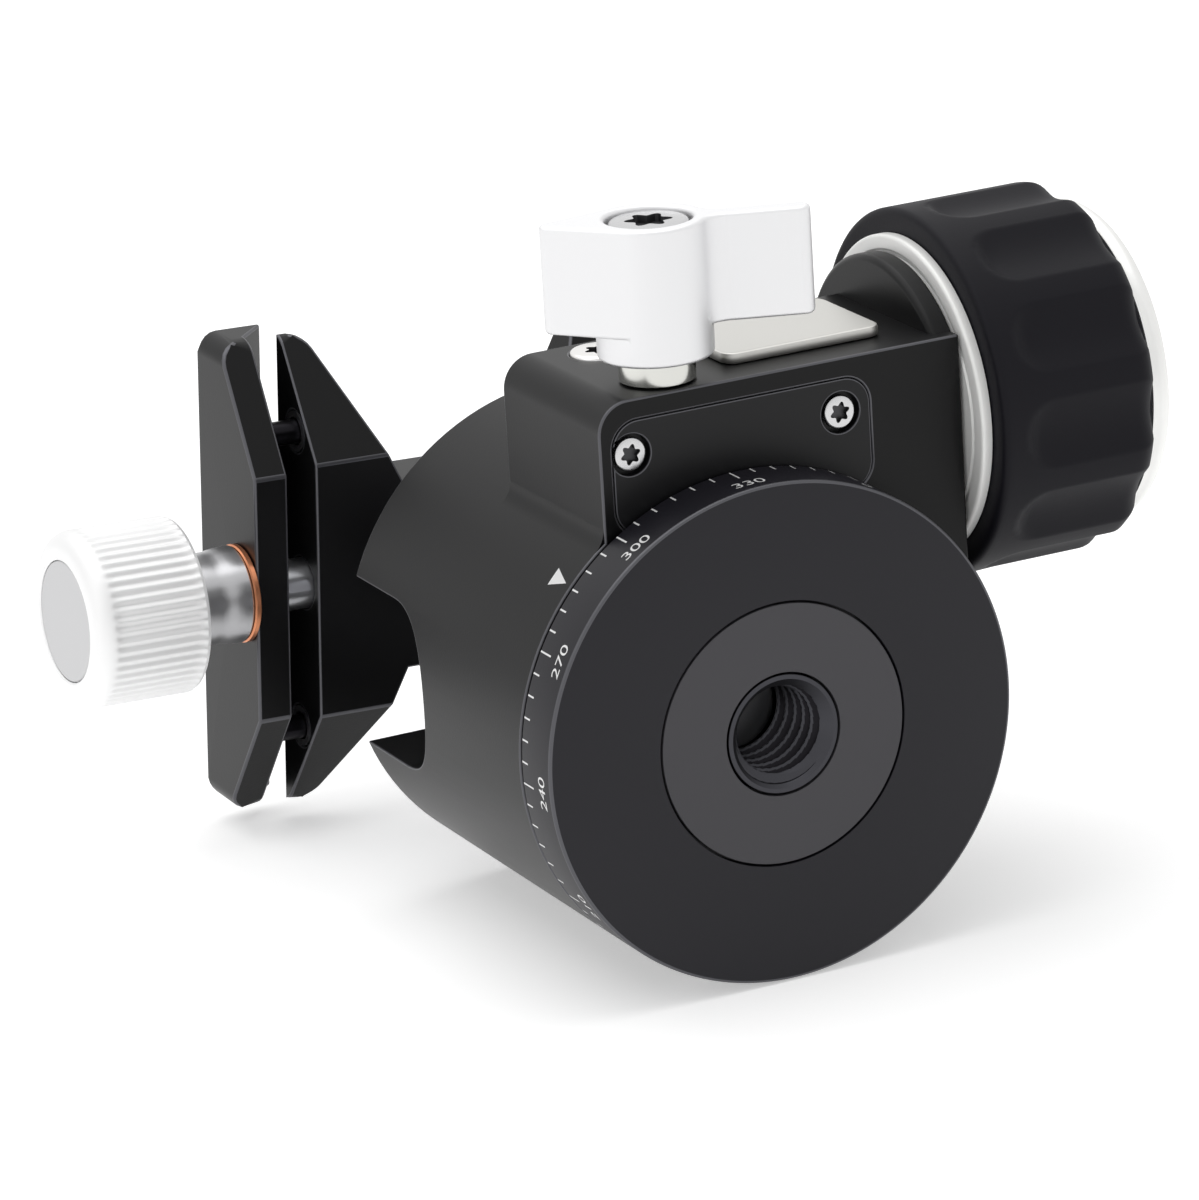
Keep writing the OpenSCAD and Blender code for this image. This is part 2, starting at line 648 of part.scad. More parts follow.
// Plan of the clamp body: two jaws joined by a waist
module body_plan() {
    near = -body_near + 2.4;
    far = fixed_root - lip_reach - 0.4;
    end = jaw_len / 2;
    half = waist_w / 2;
    edge = [
        [-body_near, end], [near, end], [near + waist_run, half],
        [far - waist_run, half], [far, end], [fixed_root + fixed_t, end]];
    n = len(edge);
    polygon(concat(edge, [for (i = [1 : n]) [edge[n - i][0], -edge[n - i][1]]]));
}
module clamp_body() {
    color([0.15, 0.15, 0.16]) on_clamp() difference() {
        intersection() {
            linear_extrude(clamp_t) body_plan();
            translate([-40, 0, 0]) rotate([90, 0, 90]) linear_extrude(80) jaw_profile(body_mid);
        }
        // bed and undercut of the fixed jaw
        rotate([90, 0, 0]) translate([0, 0, -jaw_len]) linear_extrude(2 * jaw_len) polygon([
            [-40, bed_h], [fixed_root, bed_h], [fixed_root, bed_h + 0.9],
            [fixed_root - lip_reach, bed_h + 0.9 + lip_reach], [fixed_root - lip_reach, clamp_t + eps],
            [-40, clamp_t + eps]]);
        // clamp screw, guide pins with their springs, and the stem bolt
        translate([0, 0, screw_h]) rod_x(-body_near - eps, -body_near + 12, screw_d / 2 + run);
        pin_places() rod_x(-body_near - eps, -body_near + pin_in + pin_travel + run, pin_d / 2 + run);
        pin_places() rod_x(-body_near - eps, -body_near + spring_len, pin_d / 2 + 0.9);
        translate([0, 0, -eps]) cylinder(r = stem_bolt_d / 2 + fit, h = bed_h + 2 * eps);
        translate([0, 0, stem_bolt_head_z - fit]) cylinder(r = stem_bolt_head_d / 2 + 0.2, h = clamp_t);
    }
}
module pin_places() {
    for (s = [-1, 1]) translate([0, s * pin_gap / 2, pin_h]) children();
}
module stem_bolt() {
    color([0.3, 0.3, 0.31]) on_clamp() difference() {
        union() {
            translate([0, 0, -stem_bolt_in]) cylinder(r = stem_bolt_d / 2, h = stem_bolt_in + bed_h - eps);
            translate([0, 0, stem_bolt_head_z]) cylinder(r = stem_bolt_head_d / 2, h = stem_bolt_head_h);
        }
        translate([0, 0, stem_bolt_head_z + 1]) cylinder(r = stem_bolt_head_d * 0.24, h = clamp_t, $fn = 6);
    }
}
module guide_pins() {
    color([0.8, 0.8, 0.8]) on_clamp() pin_places()
        rod_x(-jaw_out + 0.8 + fit, -body_near + pin_in, pin_d / 2);
}
module jaw_springs() {
    color([0.5, 0.5, 0.52]) on_clamp() pin_places() difference() {
        rod_x(-body_near, -body_near + spring_len, pin_d / 2 + 0.8);
        rod_x(-body_near - eps, -body_near + spring_len + eps, pin_d / 2 + 0.2);
    }
}
module moving_jaw() {
    inner = body_near + jaw_gap;
    color([0.17, 0.17, 0.18]) on_clamp() difference() {
        intersection() {
            rotate([90, 0, 0]) translate([0, 0, -jaw_len / 2]) linear_extrude(jaw_len) polygon([
                [-jaw_out, 0], [-inner, 0], [-inner, bed_h + 0.9],
                [-inner + lip_reach, bed_h + 0.9 + lip_reach], [-inner + lip_reach, clamp_t],
                [-jaw_out, clamp_t]]);
            translate([-jaw_out - 1, 0, 0]) rotate([90, 0, 90]) linear_extrude(20) jaw_profile(jaw_mid);
        }
        translate([0, 0, screw_h]) rod_x(-jaw_out - eps, -inner + eps, screw_d / 2 + 0.2);
        pin_places() rod_x(-jaw_out + 0.8, -inner + eps, pin_d / 2 + fit);
    }
}
module clamp_washer() {
    color([0.75, 0.45, 0.3]) on_clamp() translate([0, 0, screw_h]) difference() {
        rod_x(-jaw_out - washer_t, -jaw_out, washer_d / 2);
        rod_x(-jaw_out - 2, -jaw_out + eps, screw_d / 2 + 0.2);
    }
}
module clamp_knob() {
    rim_r = knob_d / 2 - 1.45;
    color([0.93, 0.93, 0.93]) on_clamp() translate([0, 0, screw_h]) rotate([0, -90, 0]) difference() {
        rotate_extrude() polygon([
            [screw_d / 2 + fit, knob_s], [neck_d / 2, knob_s], [neck_d / 2, knurl_s],
            [knob_d / 2 - 0.6, knurl_s], [knob_d / 2, knurl_s + 0.6], [knob_d / 2, knob_end - 2],
            [knob_d / 2 - 0.4, knob_end - 0.9], [rim_r + 0.3, knob_end - 0.15], [rim_r - 0.2, knob_end],
            [screw_d / 2 + fit, knob_end]]);
        translate([0, 0, knob_end - 0.7]) cylinder(r = disc_d / 2 + fit, h = 2);
    }
}
module knob_disc() {
    color([0.8, 0.8, 0.81]) on_clamp() translate([0, 0, screw_h])
        rod_x(-knob_end + 0.1, -knob_end + 0.7, disc_d / 2);
}
module clamp_screw() {
    color([0.8, 0.8, 0.8]) on_clamp() translate([0, 0, screw_h])
        rod_x(-knob_end + 0.7 + fit, -body_near + 8, screw_d / 2);
}

base_plate();
base_pad();
thread_bush();
pan_hub();
hub_screws();
pan_washer();
pan_retainer();
housing();
pan_sleeve();
cover_plate();
cover_screws();
label_plate();
top_plug();
seat_ring();
seat_spring();
ball_seat();
lock_screw();
knob_core();
knob_grip();
knob_cap();
knob_bolt();
cone_nut();
ball_shoe();
pan_stud();
wing_collar();
wing_lever();
wing_screw();
pan_shoe();
ball();
ball_stem();
clamp_body();
stem_bolt();
guide_pins();
jaw_springs();
moving_jaw();
clamp_washer();
clamp_knob();
knob_disc();
clamp_screw();
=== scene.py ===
import math

import bmesh
import bpy
from mathutils import Matrix, Vector


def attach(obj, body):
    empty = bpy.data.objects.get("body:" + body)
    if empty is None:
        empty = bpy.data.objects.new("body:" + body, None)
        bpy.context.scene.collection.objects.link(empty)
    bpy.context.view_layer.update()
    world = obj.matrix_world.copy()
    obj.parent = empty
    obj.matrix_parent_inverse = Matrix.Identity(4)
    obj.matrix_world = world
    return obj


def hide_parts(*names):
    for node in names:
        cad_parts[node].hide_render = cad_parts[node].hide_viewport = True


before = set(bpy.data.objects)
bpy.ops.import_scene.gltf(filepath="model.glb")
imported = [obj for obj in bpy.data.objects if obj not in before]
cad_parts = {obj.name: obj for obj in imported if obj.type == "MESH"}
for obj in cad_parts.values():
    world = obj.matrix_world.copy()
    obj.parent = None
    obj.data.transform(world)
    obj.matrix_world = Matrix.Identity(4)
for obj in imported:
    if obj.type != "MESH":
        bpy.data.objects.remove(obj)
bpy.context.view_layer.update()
MM = 0.001

# ---------------------------------------------------------------- camera
# fitted to the circles of the base and the corners of the block and the clamp
CAMERA_AT = Vector((-0.26047, -0.19749, -0.50704))
LENS = 201.3
right = Vector((0.8916, 0.0601, -0.4487)).normalized()
forward = Vector((0.4113, 0.3069, 0.8583)).normalized()
up = right.cross(forward).normalized()
right = forward.cross(up).normalized()
cam_data = bpy.data.cameras.new("camera")
cam_data.sensor_fit = "HORIZONTAL"
cam_data.sensor_width = 36
cam_data.lens = LENS
cam_data.clip_start = 0.02
cam_data.clip_end = 20
camera = bpy.data.objects.new("camera", cam_data)
bpy.context.scene.collection.objects.link(camera)
camera.matrix_world = Matrix.Translation(CAMERA_AT) @ Matrix((
    (right.x, up.x, -forward.x),
    (right.y, up.y, -forward.y),
    (right.z, up.z, -forward.z))).to_4x4()
bpy.context.scene.camera = camera


# ---------------------------------------------------------------- materials
def lin(code):
    """Linear red, green, blue and alpha from an sRGB hex code."""
    parts = [int(code[i:i + 2], 16) / 255 for i in (0, 2, 4)]
    return [c / 12.92 if c <= 0.04045 else ((c + 0.055) / 1.055) ** 2.4 for c in parts] + [1]


def add(tree, kind, inputs=None, **settings):
    """Adds one shader node, with its settings and with values or links on its inputs."""
    made = tree.nodes.new(kind)
    for name, value in settings.items():
        setattr(made, name, value)
    for name, value in (inputs or {}).items():
        if isinstance(value, bpy.types.NodeSocket):
            tree.links.new(value, made.inputs[name])
        else:
            made.inputs[name].default_value = value
    return made


def surface(name, colour, metal=0.0, rough=0.5, shine=0.5):
    """A plain surface: (material, its tree, its main shader)."""
    made = bpy.data.materials.new(name)
    made.use_nodes = True
    made.diffuse_color = lin(colour)
    made.metallic = metal
    made.roughness = rough
    tree = made.node_tree
    shader = tree.nodes["Principled BSDF"]
    shader.inputs["Base Color"].default_value = lin(colour)
    shader.inputs["Metallic"].default_value = metal
    shader.inputs["Roughness"].default_value = rough
    shader.inputs["Specular IOR Level"].default_value = shine
    return made, tree, shader


def grained(name, colour, height, grain=0.2, **looks):
    """A surface with a fine bump, of that height and grain in mm. Real turned and anodised grain is
    finer than a pixel: it is drawn at 0.2 mm, about two pixels, so that it shows."""
    material, tree, shader = surface(name, colour, **looks)
    where = add(tree, "ShaderNodeTexCoord")
    noise = add(tree, "ShaderNodeTexNoise", {
        "Vector": where.outputs["Object"], "Scale": 1 / (grain * MM), "Detail": 2, "Roughness": 0.5})
    bump = add(tree, "ShaderNodeBump", {
        "Height": noise.outputs["Fac"], "Strength": 1, "Distance": height * MM})
    tree.links.new(bump.outputs["Normal"], shader.inputs["Normal"])
    return material


# blasted before the dye: a deep neutral black with a soft sheen and no lines
anodised = grained("black anodised aluminium, bead blasted", "070708", 0.006, 0.22, rough=0.36, shine=0.2)
# a flat cut: even, and a little greyer than the blasted barrel
anodised_face = grained("black anodised aluminium, faced", "101012", 0.004, rough=0.38, shine=0.26)
# painted highlight: a lighter colour on the rounded edges, a thin pale line that stands in for the light
# they catch
anodised_painted_edge_highlight = grained("black anodised aluminium, painted edge highlight", "56565a", 0.002,
                        metal=0.7, rough=0.36)
# matt from the mould: a flat grey ring with no highlight
pad = grained("dark grey plastic pad, moulded", "38373b", 0.006, rough=0.6)
# the skin of moulded rubber: dull, with wide weak highlights along the flutes
rubber = grained("black rubber, moulded", "100f15", 0.008, 0.3, rough=0.55, shine=0.15)
# turned, with a clear coat: pale, with blurred reflections
silver = grained("aluminium, turned and clear anodised", "e9e8e6", 0.003, metal=1, rough=0.3)
# bare turned steel: greyer and a little bluer than the aluminium
steel = grained("steel, turned", "b4b5b8", 0.002, metal=1, rough=0.28)
# blackened: dark, but its highlights are still those of metal
black_steel = grained("steel, blackened", "201f22", 0.003, metal=1, rough=0.32)
# painted highlight: the thread is a lighter grey than the dark valleys, so that each turn shows a grey
# line on its crest
thread_steel_painted_highlight = grained("steel, thread with painted highlight", "414145", 0.003, metal=1, rough=0.36)
# bare turned brass: warm yellow
brass = grained("brass, turned", "c9a565", 0.002, metal=1, rough=0.3)
# cut from sheet and left bare: a thin orange line behind the knob
copper = grained("copper, punched sheet", "d8906a", 0.003, metal=1, rough=0.35)
# waxy and cream, with a low gloss
acetal = grained("cream acetal plastic, turned", "e3ddcb", 0.002, rough=0.4)
# the thick coat greys the metal and blurs what the ball reflects
ball_grey = grained("aluminium, hard anodised grey", "a6a6aa", 0.003, metal=1, rough=0.33)
# rolled and matt: a flat warm grey on top of the block
plate = grained("aluminium plate, matt", "c9c8c4", 0.003, metal=1, rough=0.45)
# the last cut under the base: wide, satin and a little blue
anodised_base = grained("black anodised aluminium, turned face", "17161c", 0.004, rough=0.42, shine=0.28)
# blasted before the clear coat: almost white, with very soft shades
wing_silver = grained("aluminium, milled, blasted and clear anodised", "e3e3e4", 0.004, 0.25,
                      metal=1, rough=0.5)
# a fine bright cut: the end cap is nearly as white as the ground behind it
knob_silver = grained("aluminium, turned bright on a lathe", "f4f4f2", 0.002, metal=0.55, rough=0.45)
# a faced band: a white line at the start of the rubber
flange_silver = grained("aluminium, faced and clear anodised", "f6f6f4", 0.003, metal=0.15, rough=0.45)
# rolled ridges under a clear coat: white crests and pale grey valleys
knurl_silver = grained("aluminium, knurled and clear anodised", "f8f8f8", 0.003, metal=0.35, rough=0.5)
# a bare turned neck: clear bands of light and dark along it
neck_silver = grained("aluminium, turned bright", "b6b6b8", 0.003, metal=1, rough=0.3)
# faced and left matt: an even grey disc inside the white rim
disc_grey = grained("aluminium disc, faced matt", "c4c4c5", 0.003, metal=1, rough=0.5)
# formed in a die: smooth and bright, with sharper highlights
steel_head = grained("stainless steel, cold formed", "c8c8c9", 0.003, 0.3, metal=1, rough=0.25)
# painted shade: a darker steel in the star recess, where shade falls
recess_painted_shade = grained("stainless steel, recess with painted shade", "4c4c4e", 0.003, metal=1, rough=0.5)
# polished: the collar shows the floor and the dark block in it
polished = grained("stainless steel, polished", "cfcfca", 0.001, 0.4, metal=1, rough=0.2)
# pad printed: flat and white, with no gloss of its own
paint = grained("white paint, pad printed", "e8e8e8", 0.002, rough=0.5)


MATERIAL_OF = {
    "base_plate": anodised, "base_pad": pad, "thread_bush": black_steel, "pan_hub": steel,
    "hub_screws": steel, "pan_washer": acetal, "pan_retainer": brass, "housing": anodised,
    "pan_sleeve": steel, "cover_plate": anodised, "cover_screws": silver, "label_plate": plate,
    "top_plug": silver, "seat_ring": steel, "seat_spring": steel, "ball_seat": acetal,
    "lock_screw": steel, "knob_core": silver, "knob_grip": rubber, "knob_cap": silver,
    "knob_bolt": steel, "cone_nut": brass, "ball_shoe": brass, "pan_stud": steel,
    "wing_collar": silver, "wing_lever": silver, "wing_screw": silver, "pan_shoe": brass,
    "ball": ball_grey, "ball_stem": ball_grey, "clamp_body": anodised, "stem_bolt": black_steel,
    "guide_pins": black_steel, "jaw_springs": steel, "moving_jaw": anodised, "clamp_washer": copper,
    "clamp_knob": silver, "knob_disc": plate, "clamp_screw": steel,
}
for name, made in MATERIAL_OF.items():
    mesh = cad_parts[name].data
    mesh.materials.clear()
    mesh.materials.append(made)


# ---------------------------------------------------------------- shapes
# every shape is drawn in mm, and piece() scales it
def turn(degrees, axis):
    return Matrix.Rotation(math.radians(degrees), 4, axis)


def shift(x, y, z):
    return Matrix.Translation((x, y, z))


# places of the turned pieces: each is drawn along its own z
BASE = Matrix.Identity(4)
LOCK = shift(0, -23.3, 18) @ turn(90, "Y")
WING = shift(-5.4, 0, 10.3) @ turn(21, "Y") @ turn(90, "X")
PLUG = shift(-5.6, 0, 21.4) @ turn(90, "X")
STEM = shift(0, 0, 34.5) @ turn(1.8, "X") @ turn(-0.9, "Y")
CLAMP = STEM @ turn(2.6, "Z") @ shift(0, 0, 25.4)
CLAMP_KNOB = CLAMP @ shift(0, 0, 3.5) @ turn(-90, "Y")

SHARP = math.radians(30)     # edges above this angle are rounded
CREASE = math.radians(32)    # edges above this angle are shaded as edges
BOSS_X = 20.8                # past it the boss keeps one colour, without the painted edge highlight


def turned(points, steps, shape=None, closed=False):
    """Spins a profile of (radius, height) points; shape gives each vertex a new radius."""
    shell = bmesh.new()
    chain = [shell.verts.new((r, 0, h)) for r, h in points]
    if closed:
        chain.append(chain[0])
    for one, two in zip(chain, chain[1:]):
        shell.edges.new((one, two))
    bmesh.ops.spin(shell, geom=shell.verts[:] + shell.edges[:], angle=math.tau, steps=steps,
                   axis=(0, 0, 1), cent=(0, 0, 0), use_merge=True)
    bmesh.ops.remove_doubles(shell, verts=shell.verts, dist=0.0005)
    bmesh.ops.recalc_face_normals(shell, faces=shell.faces)
    if shape:
        for vert in shell.verts:
            radius = math.hypot(vert.co.x, vert.co.y)
            if radius > 0.001:
                grown = shape(radius, vert.co.z, math.atan2(vert.co.y, vert.co.x)) / radius
                vert.co.x *= grown
                vert.co.y *= grown
    return shell


def soften(shell, width, segments, chosen=None):
    """Rounds every sharp outer edge by that width, or only the chosen ones."""
    sharp = [e for e in shell.edges if len(e.link_faces) == 2 and e.is_convex
             and e.calc_face_angle(0) > SHARP and (chosen is None or chosen(e))]
    return bmesh.ops.bevel(shell, geom=sharp, offset=width, offset_type="OFFSET", segments=segments,
                           profile=0.5, affect="EDGES", clamp_overlap=False, material=-1)


def shade(shell):
    """Smooth shading between creases."""
    for face in shell.faces:
        face.smooth = True
    for edge in shell.edges:
        edge.smooth = len(edge.link_faces) == 2 and edge.calc_face_angle(0) < CREASE


def paint_faces(faces, chosen):
    """Gives the second material to the faces that the test chooses by their middle; here the second
    material is always painted light: a highlight on edges and crests, shade in recesses.
    """
    for face in faces:
        face.material_index = 1 if chosen(face.calc_center_median()) else 0


def piece(name, shell, place, body, made, nodes=()):
    """Puts a shell that is drawn in mm in its place on a body, in the place of those CAD nodes."""
    bmesh.ops.transform(shell, matrix=Matrix.Scale(MM, 4) @ place, verts=shell.verts)
    shade(shell)
    mesh = bpy.data.meshes.new(name)
    shell.to_mesh(mesh)
    shell.free()
    for each in made if isinstance(made, (list, tuple)) else [made]:
        mesh.materials.append(each)
    shown = bpy.data.objects.new(name.replace(" ", "_"), mesh)
    bpy.context.scene.collection.objects.link(shown)
    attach(shown, body)
    if nodes:
        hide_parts(*nodes)
    return shown


def refined(node, body, made, width, segments=2, corners=(), edge=None):
    """A copy of a CAD node with its edges rounded by that width in mm; corners lists
    (test, width) pairs of edges that are rounded more, before the rest, and edge is the
    material of the roundings, a lighter colour that paints a highlight on them."""
    shell = bmesh.new()
    shell.from_mesh(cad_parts[node].data)
    bmesh.ops.transform(shell, matrix=Matrix.Scale(1 / MM, 4), verts=shell.verts)
    bmesh.ops.remove_doubles(shell, verts=shell.verts, dist=0.002)
    bmesh.ops.dissolve_limit(shell, angle_limit=math.radians(0.6), verts=shell.verts, edges=shell.edges)
    for test, wide in corners:
        soften(shell, wide, 5, test)
    rounded = soften(shell, width, segments)
    if edge:
        # painted highlight on the rounded edges, but not on the boss past BOSS_X
        paint_faces(rounded["faces"], lambda middle: middle.x < BOSS_X)
        made = [made, edge]
    shown = piece(node + " shown", shell, BASE, body, made, [node])
    weighted = shown.modifiers.new("even shading", "WEIGHTED_NORMAL")
    weighted.keep_sharp = True
    return shown


def gather(into, shell):
    """Adds one shell to another."""
    kept = bpy.data.meshes.new("gathered")
    shell.to_mesh(kept)
    shell.free()
    into.from_mesh(kept)


def arc(cx, cy, radius, start, end, steps=6):
    """Points on an arc, in degrees."""
    return [(cx + radius * math.cos(math.radians(start + (end - start) * i / steps)),
             cy + radius * math.sin(math.radians(start + (end - start) * i / steps)))
            for i in range(steps + 1)]


def levels(points, step):
    """The same profile with points added along its long runs."""
    fine = [points[0]]
    for (r0, h0), (r1, h1) in zip(points, points[1:]):
        parts = max(1, round(math.hypot(r1 - r0, h1 - h0) / step))
        fine += [(r0 + (r1 - r0) * i / parts, h0 + (h1 - h0) * i / parts) for i in range(1, parts + 1)]
    return fine


# ---- base
BASE_R, RING_H = 23.5, 5.8
RIM = 0.28                   # rounding of the lower rim, with a painted highlight
BASE_HOLE = 5.72
POCKET_R, POCKET_DEEP = 12.44, 1.2
PAD_IN, PAD_OUT, PAD_DEEP = 5.8, 12.2, 1.18
base_shell = turned(
    [(BASE_HOLE, POCKET_DEEP), (POCKET_R, POCKET_DEEP), (POCKET_R, 0.03), (POCKET_R + 0.03, 0),
     (BASE_R - RIM, 0)]
    + arc(BASE_R - RIM, RIM, RIM, -90, 0, 4)
    + [(BASE_R, RING_H - 0.3), (BASE_R - 0.2, RING_H), (BASE_HOLE, RING_H)], 256, closed=True)
# painted highlight: the rounded lower rim takes the lighter edge colour
paint_faces(base_shell.faces, lambda middle: (
    math.hypot(middle.x, middle.y) > BASE_R - RIM + 0.01 and middle.z < RIM - 0.01))
piece("base plate shown", base_shell, BASE, "base", [anodised_base, anodised_painted_edge_highlight], ["base_plate"])
piece("pad shown", turned(
    [(PAD_IN, PAD_DEEP), (PAD_IN, 0.03), (PAD_IN + 0.03, 0.0), (PAD_OUT - 0.04, 0), (PAD_OUT, 0.04),
     (PAD_OUT, PAD_DEEP)], 192, closed=True),
    BASE, "base", pad, ["base_pad"])

# tripod thread, 3/8 inch and 16 to the inch, with a countersink
PITCH = 1.5875
CREST, ROOT = 3.97, 4.76
MOUTH = 5.15                 # radius of the countersink at the face
BUSH_R, BUSH_H = 5.56, 9.6
BUSH_LEVELS = 220
TOOTH_SLOPE, TOOTH_FLAT = 3.2, 0.12
VALLEY_PAINTED_SHADE, COUNTERSINK = 0.22, 1.3   # past this depth, and above the countersink, the thread valleys are painted dark as shade


def thread_radius(radius, height, angle):
    """Cuts the thread in the bore, and the countersink over its first turns."""
    if radius > MOUTH + 0.05 or height < 0.02 or height > BUSH_H - 0.02:
        return radius
    turn_part = (height / PITCH - angle / math.tau) % 1
    tooth = min(1, max(0, TOOTH_SLOPE * abs(turn_part - 0.5) - TOOTH_FLAT))
    return max(CREST + (ROOT - CREST) * tooth, MOUTH - height)


bush = turned(
    [(BUSH_R, 0.05), (BUSH_R - 0.05, 0.0), (MOUTH, 0)]
    + [(CREST, 0.02 + (BUSH_H - 0.03) * i / BUSH_LEVELS) for i in range(1, BUSH_LEVELS + 1)]
    + [(CREST, BUSH_H), (BUSH_R, BUSH_H)], 160, thread_radius, closed=True)
# painted shade: the valleys deep in the hole take the dark steel, and the rest keeps the lighter grey of
# the painted highlight
paint_faces(bush.faces, lambda middle: (
    VALLEY_PAINTED_SHADE < math.hypot(middle.x, middle.y) - CREST < MOUTH + 0.05 - CREST
    and middle.z > COUNTERSINK))
piece("tripod thread shown", bush, BASE, "base", [thread_steel_painted_highlight, black_steel], ["thread_bush"])

# ---- barrel and block
refined("housing", "housing", anodised, width=0.2, segments=3,
        edge=anodised_painted_edge_highlight)
refined("cover_plate", "housing", anodised_face, width=0.12,
        edge=anodised_painted_edge_highlight)
refined("label_plate", "housing", plate, width=0.35)


def strip(points, low, high):
    """A straight bar with that outline, from one height to another."""
    shell = bmesh.new()
    foot = shell.faces.new([shell.verts.new((x, y, low)) for x, y in points])
    grown = bmesh.ops.extrude_face_region(shell, geom=[foot], use_keep_orig=True)["geom"]
    bmesh.ops.translate(shell, vec=(0, 0, high - low),
                        verts=[v for v in grown if isinstance(v, bmesh.types.BMVert)])
    bmesh.ops.recalc_face_normals(shell, faces=shell.faces)
    return shell


# the fillet where the block grows out of the barrel, tangent to both; its bar starts inside them
FILLET = 2.6
WALL, WALL_IN, INSIDE_Y = -13.7, 0.3, -18.6
BARREL_R = 23.5
BLOCK_LOW, BLOCK_HIGH = 6.22, 25.2
root_x = WALL - FILLET
root_y = -math.sqrt((BARREL_R + FILLET) ** 2 - root_x ** 2)
lean_in = math.degrees(math.atan2(-root_y, -root_x))
piece("block fillet", strip(
    [(WALL + WALL_IN, root_y), (WALL + WALL_IN, INSIDE_Y)]
    + arc(root_x, root_y, FILLET, lean_in, 0, 10),
    BLOCK_LOW, BLOCK_HIGH), BASE, "housing", anodised, ())

STAR_POINTS = 6
STAR_WAVE = 0.17             # depth of the star's hollows, as a part of its radius


def star_head(radius, height, star, depth, crown):
    """A screw head, drawn downwards from z = 0, with a star-shaped recess that is painted dark as shade.
    """
    shell = turned(
        [(0, -height), (radius, -height), (radius, -crown)]
        + arc(radius - crown, -crown, crown, 0, 90, 3)
        + [(star, 0), (star * 0.98, -depth), (0, -depth)], STAR_POINTS * 8)
    for vert in shell.verts:
        r = math.hypot(vert.co.x, vert.co.y)
        if 0.001 < r < star * 1.001 and vert.co.z > -depth - 0.01 and vert.co.z > -height + 0.01:
            angle = math.atan2(vert.co.y, vert.co.x)
            wave = 1 - STAR_WAVE * (1 - math.cos(STAR_POINTS * angle))
            vert.co.x *= wave
            vert.co.y *= wave
    # painted shade on the walls and floor of the recess
    paint_faces(shell.faces, lambda middle: (
        -height + 0.01 < middle.z < -0.05 and math.hypot(middle.x, middle.y) < star + 0.01))
    return shell


SCREW_X, SCREW_Y, SCREW_Z, SCREW_TURN = 10.6, -26.8, 6.1, 15
PLUG_TOP, WING_TOP = 32.2, 46.65
heads = bmesh.new()
for x in (-SCREW_X, SCREW_X):
    one = star_head(radius=1.55, height=0.85, star=1.0, depth=0.5, crown=0.2)
    bmesh.ops.transform(one, verts=one.verts, matrix=(
        shift(x, SCREW_Y, SCREW_Z) @ turn(180, "X") @ turn(SCREW_TURN, "Z")))
    gather(heads, one)
piece("cover screws shown", heads, BASE, "housing", [steel_head, recess_painted_shade], ["cover_screws"])
piece("plug shown", star_head(radius=2.78, height=3.2, star=1.5, depth=1.4, crown=0.3),
      PLUG @ shift(0, 0, PLUG_TOP), "housing", [silver, recess_painted_shade], ["top_plug"])

# ---- pan lock
refined("wing_lever", "wing", wing_silver, width=0.4, segments=3)
COLLAR_LOW, COLLAR_HIGH = 31.96, 34.24
COLLAR_IN, COLLAR_R = 2.03, 3.5
piece("collar shown", turned(levels(
    [(COLLAR_IN, COLLAR_LOW), (COLLAR_R - 0.15, COLLAR_LOW), (COLLAR_R, COLLAR_LOW + 0.14),
     (COLLAR_R, COLLAR_HIGH - 0.19), (COLLAR_R - 0.15, COLLAR_HIGH), (COLLAR_IN, COLLAR_HIGH)], 1.0),
    96, closed=True), WING, "wing", polished, ["wing_collar"])
piece("wing screw shown", star_head(radius=3.7, height=2.3, star=2.2, depth=0.7, crown=0.45),
      WING @ shift(0, 0, WING_TOP), "wing", [steel_head, recess_painted_shade], ["wing_screw"])

# ---- lock knob
FLANGE_X, GRIP_X, GRIP_END = 23.4, 24.5, 41.4
FLANGE_R, CORE_R = 15.1, 14.0
GRIP_IN, GRIP_R, GRIP_ROUND = 14.05, 17.38, 2.18
CAP_R, CAP_ROUND = 15.3, 1.1
piece("knob core shown", turned(
    [(0, GRIP_X + 1), (4.2, GRIP_X + 1), (4.2, FLANGE_X), (13.1, FLANGE_X), (13.3, FLANGE_X + 0.15)]
    + [(13.6, FLANGE_X + 0.15), (13.8, FLANGE_X), (FLANGE_R - 0.35, FLANGE_X)]
    + arc(FLANGE_R - 0.35, FLANGE_X + 0.35, 0.35, -90, 0, 4)
    + [(FLANGE_R, GRIP_X - 0.1), (CORE_R, GRIP_X), (CORE_R, GRIP_END - 0.05), (0, GRIP_END - 0.05)],
    192), LOCK, "lock_knob", flange_silver, ["knob_core"])

FLUTES = 12
FLUTE_AT = math.radians(18)
FLUTE_DEEP, FLUTE_HALF = 0.85, 0.74   # depth in mm, and half width as a part of the pitch
FLUTE_FLOOR, FLUTE_FROM = 15.5, 14.6  # flutes stay outside the first, and cut only past the second
BAND, RUN_IN = 2.4, 3.2               # plain band at the start, and where flutes reach full depth


def fluted(radius, height, angle):
    """Broad shallow flutes that start after a plain band and run out at the end."""
    if radius < FLUTE_FROM:
        return radius
    wave = abs(((angle - FLUTE_AT) / math.tau * FLUTES) % 1 - 0.5) * 2
    along = min(1, max(0, (height - GRIP_X - BAND) / RUN_IN), 0.45 + max(0, (GRIP_END - height) / 4))
    half = FLUTE_HALF * math.sqrt(max(0, 1 - (1 - along) ** 2))
    if half < 0.02:
        return radius
    across = min(1, wave / half)
    deep = FLUTE_DEEP * min(1, 2.2 * along) * (1 - across ** 2) ** 1.1
    return max(radius - deep, min(radius, FLUTE_FLOOR))


